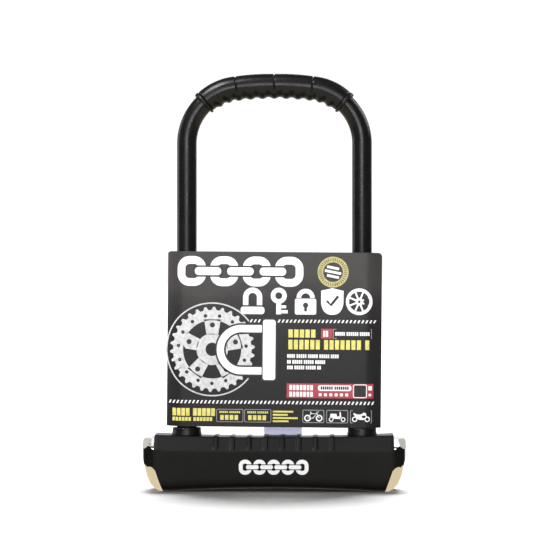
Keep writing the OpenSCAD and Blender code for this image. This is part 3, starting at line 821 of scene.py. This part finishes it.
def make_card():
    xs = spread(-WRAP_X, WRAP_X, 40)
    turns = spread(0, pi / 2, 44)[1:]
    wrap = [WRAP_X + (CARD_HALF - WRAP_X) * sin(t) for t in turns]
    front = [-x for x in reversed(wrap)] + xs + wrap
    turns = spread(-pi / 2, pi / 2, 6)[1:-1]
    fold = [(CARD_HALF + FOLD_BULGE * cos(t), FOLD_HALF_Y * sin(t)) for t in turns]
    plan = [(x, -card_front(x)) for x in front] + fold
    plan += [(x, card_front(x)) for x in reversed(front)] + [(-x, -y) for x, y in fold]
    normals = outline_normals(plan)

    def top_at(x):
        into = abs(x) - (CARD_HALF + FOLD_BULGE - CARD_CORNER)
        drop = 0.0 if into <= 0 else CARD_CORNER - sqrt(max(CARD_CORNER ** 2 - into ** 2, 0.0))
        return CARD_H - drop * (1.0 if x > 0 else 0.55)

    def level(share, inset, shorten=0.0):
        ring = []
        for (x, y), (nx, ny) in zip(plan, normals):
            z = CARD_BASE_Z + shorten + (top_at(x) - 2 * shorten) * share
            ring.append(card_place(x - nx * inset, y - ny * inset, z))
        return ring

    heights = spread(0, 1, 26)
    outer = [level(h, 0.0, 0.08) for h in heights]
    inner = [level(h, CARD_T, 0.08) for h in reversed(heights)]
    edge_top = [level(1, 0.1), level(1, CARD_T - 0.1)]
    edge_low = [level(0, CARD_T - 0.1), level(0, 0.1)]
    obj = ring_object("printed_card_sleeve", outer + edge_top + inner + edge_low, [CARD])
    shade(obj, 50)
    piece(obj, "sleeve", "printed_card", "retail_sleeve")


TONGUE_X = 6.0
TONGUE_W = 28.4
TONGUE_Y = 20.2
TONGUE_ROOT_Z = 72.0
TONGUE_LOW_Z = 0.9
TONGUE_CORNER = 4.0
TONGUE_BEND = (34, 66)


def make_tongue():
    """The raw-backed tongue that leaves the rear panel and tucks behind the bar."""
    path = []
    for z in spread(TONGUE_ROOT_Z, TONGUE_LOW_Z, 64):
        y = CARD_Y - CARD_T / 2 + (TONGUE_Y - CARD_Y) * (1 - smoothstep(*TONGUE_BEND, z))
        path.append((y, z))
    half = CARD_T / 2
    rings = []
    for i, (y, z) in enumerate(path):
        (ay, az), (by, bz) = path[max(i - 1, 0)], path[min(i + 1, len(path) - 1)]
        length = hypot(by - ay, bz - az)
        ny, nz = (az - bz) / length * half, (by - ay) / length * half
        into = 1 - min((z - TONGUE_LOW_Z) / TONGUE_CORNER, 1.0)
        w = TONGUE_W / 2 - TONGUE_CORNER * (1 - sqrt(max(0.0, 1 - into ** 2)))
        front = [(TONGUE_X + w * k, y - ny, z - nz) for k in spread(-1, 1, 8)]
        back = [(TONGUE_X + w * k, y + ny, z + nz) for k in spread(1, -1, 8)]
        rings.append(front + back)
    count = len(rings[0])
    points = [p for ring in rings for p in ring]
    last = count * (len(rings) - 1)
    faces = [f for f in ring_faces(len(rings), count) if not (max(f) >= last and min(f) < count)]
    faces += [tuple(range(count)), tuple(range(last, last + count))]
    obj = new_object("sleeve_tongue", points, faces, [RAW_CARD])
    shade(obj, 40)
    piece(obj, "sleeve", "printed_card")


make_card()
make_tongue()


# ---- print on the card

INK_T = 0.05
INK_LIFT = 0.03
CURVED_STEP = 1.3
FLAT_STEP = 4


class Print:
    """Collects flat closed shapes, drawn in X and Z, and lays them on a front surface as one thin mesh."""

    def __init__(self, place, layer=0):
        self.place = place
        self.back = INK_LIFT + INK_T * layer
        self.front = self.back + INK_T
        self.points, self.faces = [], []

    def prism(self, outline):
        """One simple outline as a closed thin slab."""
        start, count = len(self.points), len(outline)
        for lift in (self.back, self.front):
            self.points += [self.place(x, z, lift) for x, z in outline]
        self.faces += [tuple(range(start, start + count)), tuple(range(start + count, start + 2 * count))]
        for i in range(count):
            j = (i + 1) % count
            self.faces.append((start + i, start + j, start + count + j, start + count + i))

    def strip(self, first, second, closed=False):
        """A closed thin slab between two rails of equal point count, divided across where the card curves."""
        widest = max(hypot(a[0] - b[0], a[1] - b[1]) for a, b in zip(first, second))
        curved = max(abs(x) for x, z in first + second) > WRAP_X - 1
        across = max(1, ceil(widest / CURVED_STEP)) if curved else 1
        pairs = list(zip(first, second))
        rails = [
            [(ax + (bx - ax) * k / across, az + (bz - az) * k / across) for (ax, az), (bx, bz) in pairs]
            for k in range(across + 1)
        ]
        start, count = len(self.points), len(first)
        for lift in (self.back, self.front):
            for rail in rails:
                self.points += [self.place(x, z, lift) for x, z in rail]
        low = [start + k * count for k in range(across + 1)]
        high = [start + (across + 1 + k) * count for k in range(across + 1)]
        for i in range(count if closed else count - 1):
            j = (i + 1) % count
            for k in range(across):
                for a, b in ((low[k], low[k + 1]), (high[k], high[k + 1])):
                    self.faces.append((a + i, a + j, b + j, b + i))
            for a, c in ((low[0], high[0]), (low[-1], high[-1])):
                self.faces.append((a + i, a + j, c + j, c + i))
        if not closed:
            for i in (0, count - 1):
                for k in range(across):
                    self.faces.append((low[k] + i, low[k + 1] + i, high[k + 1] + i, high[k] + i))

    def box(self, x0, z0, x1, z1, slant=0.0, radius=0.0):
        """A block, slanted by moving its top sideways, or with round corners."""
        if radius:
            self.prism(inset_box(x0, z0, x1, z1, radius, 0, 4))
            return
        steps = max(1, ceil((x1 - x0) / (CURVED_STEP if max(abs(x0), abs(x1)) > WRAP_X else FLAT_STEP)))
        low = [(x, z0) for x in spread(x0, x1, steps)]
        high = [(x + slant, z1) for x in spread(x0, x1, steps)]
        self.strip(low, high)

    def disc(self, x, z, r, count=40):
        self.prism(circle(r, x, z, count))

    def ring(self, x, z, inner, outer, start=0.0, turn=360.0, count=64):
        """A ring, or a part of one, from start degrees on."""
        closed = turn >= 360
        steps = [radians(start + turn * i / count) for i in range(count if closed else count + 1)]
        self.strip([around(x, z, outer, t) for t in steps], [around(x, z, inner, t) for t in steps], closed)

    def frame(self, x0, z0, x1, z1, width, radius=1.2):
        """An outlined box with round corners."""
        first = inset_box(x0, z0, x1, z1, radius, 0, 5)
        second = inset_box(x0, z0, x1, z1, max(radius - width, 0.15), width, 5)
        self.strip(first, second, closed=True)

    def stroke(self, points, width, closed=False):
        """A line of even width through the points."""
        count = len(points)
        first, second = [], []
        for i, (x, z) in enumerate(points):
            if closed:
                (ax, az), (bx, bz) = points[i - 1], points[(i + 1) % count]
            else:
                (ax, az), (bx, bz) = points[max(i - 1, 0)], points[min(i + 1, count - 1)]
            length = hypot(bx - ax, bz - az)
            nx, nz = (az - bz) / length * width / 2, (bx - ax) / length * width / 2
            first.append((x + nx, z + nz))
            second.append((x - nx, z - nz))
        self.strip(first, second, closed)

    def finish(self, name, material, body, slot):
        obj = new_object(name, self.points, self.faces, [material], smooth=False)
        piece(obj, body, slot)


def print_chain(white, dark, bright, left, z, link_w, link_h, pitch, count):
    """A chain of bold face-on links joined by edge-on ones."""
    stroke = link_h * 0.26
    for i in range(count):
        x0 = left + i * pitch
        corners = (x0, z, x0 + link_w, z + link_h)
        outer = inset_box(*corners, link_h * 0.4, 0, 8)
        inner = inset_box(*corners, link_h * 0.4 - stroke, stroke, 8)
        white.strip(outer, inner, closed=True)
    for i in range(count - 1):
        x0 = left + i * pitch + link_w - stroke * 1.45
        x1 = left + (i + 1) * pitch + stroke * 1.45
        middle, half = z + link_h / 2, stroke * 0.52
        gap = link_h * 0.055
        dark.box(x0 - gap, middle - half - gap, x1 + gap, middle + half + gap, radius=half)
        bright.box(x0, middle - half, x1, middle + half, radius=half * 0.9)


def icon_lock_u(pen, x, z, h):
    w, t = h * 0.72, h * 0.2
    left, right, foot = x - w / 2 + t / 2, x + w / 2 - t / 2, z + h * 0.34
    bow = [around(x, z + h - w / 2, (w - t) / 2, a) for a in spread(pi, 0, 18)]
    pen.stroke([(left, foot)] + bow + [(right, foot)], t)
    pen.box(x - w * 0.62, z, x + w * 0.62, z + h * 0.28, radius=h * 0.1)


def icon_key(pen, x, z, h):
    pen.ring(x, z + h * 0.7, h * 0.13, h * 0.3)
    pen.box(x - h * 0.09, z, x + h * 0.09, z + h * 0.42)
    pen.box(x + h * 0.1, z + h * 0.04, x + h * 0.34, z + h * 0.16)
    pen.box(x + h * 0.1, z + h * 0.23, x + h * 0.28, z + h * 0.34)


def icon_padlock(pen, dark, x, z, h):
    pen.box(x - h * 0.4, z, x + h * 0.4, z + h * 0.6, radius=h * 0.07)
    pen.ring(x, z + h * 0.63, h * 0.17, h * 0.34, 0, 180, 28)
    dark.disc(x, z + h * 0.35, h * 0.1)
    dark.box(x - h * 0.05, z + h * 0.12, x + h * 0.05, z + h * 0.26)


def icon_shield(pen, dark, x, z, h):
    w = h * 0.42
    turns = spread(0.02, pi / 2 - 0.02, 14)
    side = [(x + w * cos(a) ** 0.8, z + h * 0.5 * (1 - sin(a))) for a in turns]
    mirrored = [(2 * x - px, pz) for px, pz in reversed(side)]
    pen.prism([(x + w, z + h * 0.9), *side, *mirrored, (x - w, z + h * 0.9), (x, z + h)])
    tick = [(x - h * 0.2, z + h * 0.52), (x - h * 0.05, z + h * 0.36), (x + h * 0.22, z + h * 0.7)]
    dark.stroke(tick, h * 0.1)


def icon_wheel(pen, x, z, h):
    r = h / 2
    pen.ring(x, z + r, r * 0.76, r)
    pen.ring(x, z + r, r * 0.1, r * 0.28, count=32)
    for i in range(8):
        a = radians(45 * i + 22.5)
        pen.stroke([around(x, z + r, r * 0.27, a), around(x, z + r, r * 0.78, a)], r * 0.13)


def hatch(pen, low_x, high_x, z, height, pitch=2.93, width=1.2, slant=1.1):
    count = int((high_x - low_x - slant) / pitch)
    for i in range(count):
        x = low_x + i * pitch
        pen.box(x, z, x + width, z + height, slant)


def word_bars(pen, x0, x1, z0, z1, glyph, space=0.32, word=5, seed=1):
    """A line of greeked print: plain upright bars in groups."""
    x, i = x0, seed
    while x + glyph <= x1 + 0.01:
        pen.box(x, z0, x + glyph, z1)
        i += 1
        x += glyph * (1 + space) + (glyph * 0.7 if i % word == 0 else 0)


EMBLEM_X, EMBLEM_Z = -45.5, 103.0
EMBLEM_R = 29.0
EMBLEM_TEETH = 30
TOOTH_H = 2.4
TOOTH_SHAPE = [(0.0, 0.0), (0.22, 1.0), (0.42, 1.0), (0.64, 0.0)]
BOW_X, BOW_R, BOW_W, BOW_END = -24.0, 15.5, 5.4, -3.0


def print_chainring(pale, dark):
    """A toothed ring on five arms, with bolts, rivets and an open circle round it."""
    x, z, r = EMBLEM_X, EMBLEM_Z, EMBLEM_R
    outline = []
    for i in range(EMBLEM_TEETH):
        for share, reach in TOOTH_SHAPE:
            outline.append(around(x, z, r + TOOTH_H * reach, 2 * pi * (i + share) / EMBLEM_TEETH))
    pale.strip(outline, circle(r * 0.74, x, z, len(outline)), closed=True)
    pale.ring(x, z, r * 0.17, r * 0.40)
    for i in range(5):
        a = radians(72 * i + 18)
        c, s = cos(a), sin(a)
        root, tip = r * 0.38, r * 0.76
        half_root, half_tip = r * 0.15, r * 0.21
        pale.prism([
            (x + root * c - half_root * s, z + root * s + half_root * c),
            (x + tip * c - half_tip * s, z + tip * s + half_tip * c),
            (x + tip * c + half_tip * s, z + tip * s - half_tip * c),
            (x + root * c + half_root * s, z + root * s - half_root * c),
        ])
        dark.disc(*around(x, z, r * 0.62, a), r * 0.065, 24)
    for i in range(15):
        dark.disc(*around(x, z, r * 0.865, radians(24 * i + 6)), r * 0.045, 16)
    pale.ring(x, z, r + 4.6, r + 5.6, 38, 284, 120)


def print_emblem(pale, dark, bright):
    """A chainring caught in the bow of a U-shaped lock."""
    print_chainring(pale, dark)
    z, end = EMBLEM_Z, BOW_END
    bow = [around(BOW_X, z, BOW_R, a) for a in spread(pi / 2, 3 * pi / 2, 36)]
    route = [(end - 6, z + BOW_R)] + bow + [(end - 6, z - BOW_R)]
    dark.stroke(route, BOW_W + 2.6)
    bright.stroke(route, BOW_W)
    dark.box(end - 6.5, z - BOW_R - 8, end + 5.4, z + BOW_R + 8, radius=2.6)
    bright.box(end - 5.2, z - BOW_R - 6.7, end + 4.1, z + BOW_R + 6.7, radius=1.8)


ICON_Z, ICON_H = 129.2, 19.6


def print_icons(white, dark):
    icon_lock_u(white, -16.0, ICON_Z, ICON_H)
    icon_key(white, 3.2, ICON_Z, ICON_H)
    icon_padlock(white, dark, 23.0, ICON_Z, ICON_H)
    icon_shield(white, dark, 42.6, ICON_Z, ICON_H)
    icon_wheel(white, 62.4, ICON_Z, ICON_H)


def print_specification(white, bright, yellow, red, grey):
    """Lines of bars beside the emblem, with a small badge."""
    word_bars(yellow, 10.6, 31.0, 112.3, 118.2, 3.2, 0.3, 9)
    word_bars(yellow, 10.6, 71.8, 103.6, 110.6, 3.0, 0.34, 7)
    red.box(34.6, 111.6, 43.0, 118.9)
    word_bars(bright, 36.2, 41.6, 113.0, 117.4, 1.5, 0.35, 9)
    grey.frame(43.4, 111.7, 71.8, 118.8, 0.45, 0.3)
    word_bars(white, 45.0, 70.4, 113.9, 116.6, 1.15, 0.3, 6)
    for z, end, seed in ((97.3, 48.0, 1), (93.0, 38.5, 3), (88.9, 34.8, 2)):
        word_bars(white, 9.8, end, z, z + 2.7, 1.15, 0.32, 5, seed)


def print_rating(dark, bright, black, red):
    """A coloured panel with bars, a row of dots and a framed field."""
    red.box(9.6, 67.8, 73.4, 78.6)
    word_bars(bright, 11.6, 30.6, 73.6, 77.4, 1.9, 0.35, 9)
    word_bars(bright, 11.6, 30.6, 68.8, 72.4, 1.9, 0.35, 9)
    bright.box(32.6, 73.2, 57.2, 77.4, radius=1.6)
    word_bars(black, 34.6, 56.0, 74.2, 76.5, 1.15, 0.35, 7)
    for i in range(6):
        bright.box(33.2 + i * 3.9, 69.3, 35.4 + i * 3.9, 71.5, radius=0.5)
    bright.frame(58.4, 68.2, 68.6, 78.2, 0.6, 1.4)
    dark.box(59.2, 69.0, 67.8, 77.4, radius=0.9)
    bright.box(69.6, 73.8, 72.4, 77.0, radius=0.6)
    bright.box(69.8, 69.6, 71.8, 71.4, radius=0.5)


ROW_LOW_Z, ROW_TOP_Z = 49.6, 59.2


def print_bottom_row(yellow, grey):
    """Bars, two framed fields, four rising lines and the frames of three pictograms."""
    word_bars(yellow, -74.6, -43.0, 54.0, 59.6, 2.75, 0.22, 5)
    word_bars(yellow, -74.6, -43.0, 50.2, 53.0, 1.9, 0.26, 7)
    for x in (-42.0, -21.4):
        grey.frame(x, ROW_LOW_Z, x + 19.8, ROW_TOP_Z, 0.4, 0.9)
        word_bars(yellow, x + 2.2, x + 17.8, 56.2, 57.7, 1.0, 0.35, 6)
        word_bars(yellow, x + 2.8, x + 17.0, 51.2, 54.8, 2.6, 0.36, 9)
    for i, length in enumerate((15.0, 11.0, 18.4, 11.6)):
        yellow.box(-0.4, 57.0 - i * 2.35, -0.4 + length, 58.3 - i * 2.35)
    for x in (21.4, 38.9, 56.4):
        grey.frame(x, ROW_LOW_Z, x + 16.0, ROW_TOP_Z, 0.5, 0.9)


def print_vehicles(white):
    """Three plain two-wheeled pictograms: a bicycle, a scooter and a motorcycle."""
    for x, wheel, half_base in ((29.4, 2.5, 4.3), (46.9, 1.7, 4.4), (64.4, 2.0, 4.6)):
        for side in (-1, 1):
            white.ring(x + side * half_base, 50.6 + wheel, wheel * 0.6, wheel, count=32)
    white.stroke([(25.1, 53.1), (27.6, 56.4), (31.8, 56.4), (29.0, 53.0)], 0.55, True)
    white.stroke([(33.7, 53.1), (31.8, 57.4), (33.4, 57.9)], 0.55)
    white.stroke([(27.9, 56.6), (27.2, 57.8)], 0.6)
    white.prism([
        (43.4, 52.9), (48.6, 52.6), (50.0, 53.8), (49.4, 57.9), (48.7, 57.9), (48.6, 54.6), (46.9, 54.4),
        (46.4, 56.4), (42.2, 56.6), (41.6, 54.4),
    ])
    white.prism([
        (60.6, 54.0), (63.0, 52.2), (66.4, 52.2), (68.6, 54.4), (68.0, 57.0), (66.4, 57.6), (64.6, 56.3),
        (62.0, 56.0), (59.0, 57.2), (58.8, 56.2),
    ])


SEAL_X, SEAL_Z = 43.0, 160.6
SEAL_TILT = 0.2


def print_seal(white, dark, gold):
    """A gold ring with short spokes and three tilted bars."""
    x, z = SEAL_X, SEAL_Z
    gold.ring(x, z, 7.2, 11.4, count=72)
    for i in range(36):
        a = radians(10 * i)
        dark.stroke([around(x, z, 8.3, a), around(x, z, 10.3, a)], 0.45)
    for drop, half in ((3.2, 4.4), (0.0, 6.0), (-3.2, 4.4)):
        rise = half * SEAL_TILT
        white.stroke([(x - half, z + drop + rise), (x + half, z + drop - rise)], 1.8)


def make_prints():
    white, dark, bright, black = (Print(on_card_front, layer) for layer in range(4))
    pale, yellow, red, gold, grey = (Print(on_card_front) for _ in range(5))
    print_chain(white, dark, bright, -71.5, 149.6, 21.0, 22.0, 23.9, 4)
    print_icons(white, dark)
    hatch(white, -18.0, 77.6, 123.2, 2.2)
    hatch(white, -77.6, 76.8, 63.2, 2.3)
    print_emblem(pale, dark, bright)
    print_specification(white, bright, yellow, red, grey)
    print_rating(dark, bright, black, red)
    print_bottom_row(yellow, grey)
    print_vehicles(white)
    print_seal(white, dark, gold)
    for layer, name, material in (
        (white, "white_print", WHITE_INK), (pale, "emblem_print", PALE_INK), (dark, "dark_print", BLACK_INK),
        (bright, "overprint_white", WHITE_INK), (black, "overprint_black", BLACK_INK),
        (yellow, "yellow_print", YELLOW_INK), (red, "red_print", RED_INK),
        (gold, "gold_seal_print", GOLD_INK), (grey, "outline_print", GREY_INK),
    ):
        layer.finish(name, material, "sleeve", "printed_card")


make_prints()


# ---- chain mark on the cover

def on_cover_front(x, z, lift):
    return x, -side_half_depth(x) - lift, z


def make_cover_mark():
    """A row of pale chain links painted on the front of the cover."""
    white, dark, bright = (Print(on_cover_front, layer) for layer in range(3))
    print_chain(white, dark, bright, -25.5, 12.8, 9.4, 11.0, 10.4, 5)
    white.finish("cover_mark", WHITE_INK, "crossbar", "cover_rubber")
    dark.finish("cover_mark_gaps", COVER_RUBBER, "crossbar", "cover_rubber")
    bright.finish("cover_mark_joins", WHITE_INK, "crossbar", "cover_rubber")


make_cover_mark()


# ---- floor, light and camera

def floor_material():
    material, nodes, links, shader = node_material("studio_floor", 0.85, specular=0.1)
    grain = noise(nodes, links, 60, 3)
    links.new(ramp(nodes, links, grain, [(0.3, 0.90), (0.7, 0.92)]), shader.inputs["Base Color"])
    return material


def make_floor():
    size = 30.0
    mesh = bpy.data.meshes.new("studio_floor")
    corners = [(-size, -size, 0), (size, -size, 0), (size, size, 0), (-size, size, 0)]
    mesh.from_pydata(corners, [], [(0, 1, 2, 3)])
    mesh.materials.append(floor_material())
    floor = bpy.data.objects.new("studio_floor", mesh)
    scene.collection.objects.link(floor)
    floor.visible_glossy = False


def direction_ramp(nodes, links, source, stops):
    """A ramp over one component of a direction, with stops given from -1 to 1."""
    return ramp(nodes, links, source, [((place + 1) / 2, value) for place, value in stops])


def blend(nodes, links, kind, first, second):
    mix = nodes.new("ShaderNodeMix")
    mix.data_type = "RGBA"
    mix.blend_type = kind
    mix.inputs["Factor"].default_value = 1.0
    links.new(first, mix.inputs["A"])
    links.new(second, mix.inputs["B"])
    return mix.outputs["Result"]


def make_world():
    """White to the eye, an even fill for matt surfaces, and a studio room for reflections."""
    world = bpy.data.worlds.new("studio")
    scene.world = world
    world.use_nodes = True
    nodes, links = world.node_tree.nodes, world.node_tree.links
    seen = nodes["Background"]
    seen.inputs["Color"].default_value = (1, 1, 1, 1)
    seen.inputs["Strength"].default_value = 1.1
    fill = nodes.new("ShaderNodeBackground")
    fill.inputs["Color"].default_value = (1, 1, 1, 1)
    fill.inputs["Strength"].default_value = 0.22

    coords = nodes.new("ShaderNodeTexCoord")
    halve = nodes.new("ShaderNodeVectorMath")
    halve.operation = "MULTIPLY_ADD"
    halve.inputs[1].default_value = (0.5, 0.5, 0.5)
    halve.inputs[2].default_value = (0.5, 0.5, 0.5)
    links.new(coords.outputs["Generated"], halve.inputs[0])
    split = nodes.new("ShaderNodeSeparateXYZ")
    links.new(halve.outputs["Vector"], split.inputs["Vector"])
    warm, dim = (0.82, 0.69, 0.48), (0.01, 0.01, 0.01)
    table = direction_ramp(nodes, links, split.outputs["Z"], [
        (-1, dim), (-0.86, dim), (-0.74, warm), (-0.34, warm), (-0.24, dim), (1, dim),
    ])
    backdrop = direction_ramp(nodes, links, split.outputs["Y"], [
        (-1, 0.0), (0.55, 0.0), (0.8, 0.85), (1, 0.9),
    ])
    colour = blend(nodes, links, "LIGHTEN", table, backdrop)
    room = nodes.new("ShaderNodeBackground")
    links.new(colour, room.inputs["Color"])

    ray = nodes.new("ShaderNodeLightPath")
    unseen, mix = nodes.new("ShaderNodeMixShader"), nodes.new("ShaderNodeMixShader")
    links.new(ray.outputs["Is Glossy Ray"], unseen.inputs["Fac"])
    links.new(fill.outputs["Background"], unseen.inputs[1])
    links.new(room.outputs["Background"], unseen.inputs[2])
    links.new(ray.outputs["Is Camera Ray"], mix.inputs["Fac"])
    links.new(unseen.outputs["Shader"], mix.inputs[1])
    links.new(seen.outputs["Background"], mix.inputs[2])
    links.new(mix.outputs["Shader"], nodes["World Output"].inputs["Surface"])


def link_light(light, state, *names):
    """Lets a light reach the named objects only (INCLUDE), or everything but them (EXCLUDE)."""
    receivers = bpy.data.collections.new(light.name + "_receivers")
    for name in names:
        receivers.objects.link(bpy.data.objects[name])
    for entry in receivers.collection_objects:
        entry.light_linking.link_state = state
    light.light_linking.receiver_collection = receivers


def make_sun(name, strength, softness, direction):
    light = bpy.data.lights.new(name, "SUN")
    light.energy = strength
    light.angle = radians(softness)
    obj = bpy.data.objects.new(name, light)
    obj.rotation_euler = (-Vector(direction)).to_track_quat("-Z", "Y").to_euler()
    scene.collection.objects.link(obj)
    return obj


def make_softbox(name, power, width, height, place, target=(0, 0, 0.15)):
    light = bpy.data.lights.new(name, "AREA")
    light.shape = "RECTANGLE"
    light.size, light.size_y = width, height
    light.energy = power
    obj = bpy.data.objects.new(name, light)
    obj.location = place
    obj.rotation_euler = (Vector(target) - Vector(place)).to_track_quat("-Z", "Y").to_euler()
    scene.collection.objects.link(obj)
    return obj


def make_camera():
    data = bpy.data.cameras.new("camera")
    data.lens = 132.7
    data.sensor_width = 36.0
    obj = bpy.data.objects.new("camera", data)
    distance, turn, height = 1.5, radians(1.5), 0.1588
    obj.location = (distance * sin(turn) + 0.0005, -distance * cos(turn), height)
    obj.rotation_euler = (radians(90), 0, turn)
    scene.collection.objects.link(obj)
    scene.camera = obj


make_floor()
make_world()
link_light(make_sun("floor_light", 5.4, 36, (0, 0.5, 0.87)), "INCLUDE", "studio_floor")
low_strip = make_softbox("tongue_light", 36.0, 0.5, 0.1, (0, -2.0, 0.09), (0, 0, 0.044))
link_light(low_strip, "INCLUDE", "sleeve_tongue")
overhead = make_softbox("cap_light", 1.3, 0.53, 0.4, (0.136, -0.11, 0.49), (0.136, -0.11, 0))
link_light(overhead, "INCLUDE", "left_plated_cap", "right_plated_cap")
for softbox in (
    make_softbox("key_softbox", 44.0, 0.75, 0.7, (-0.9, -0.9, 2.0)),
    make_softbox("front_softbox", 11.0, 1.8, 0.7, (-0.1, -2.1, 0.75)),
    make_softbox("strip_softbox", 6.0, 0.6, 0.12, (-0.05, -2.0, 0.42), (0, 0, 0.3)),
    make_softbox("right_softbox", 9.0, 0.5, 0.9, (1.3, 0.5, 1.1)),
    make_softbox("left_softbox", 4.0, 0.5, 1.0, (-1.5, 0.6, 0.5)),
    make_softbox("back_softbox", 10.0, 1.6, 0.8, (0.2, 1.8, 0.9)),
):
    link_light(softbox, "EXCLUDE", "studio_floor")
make_camera()
scene.view_settings.view_transform = "Standard"
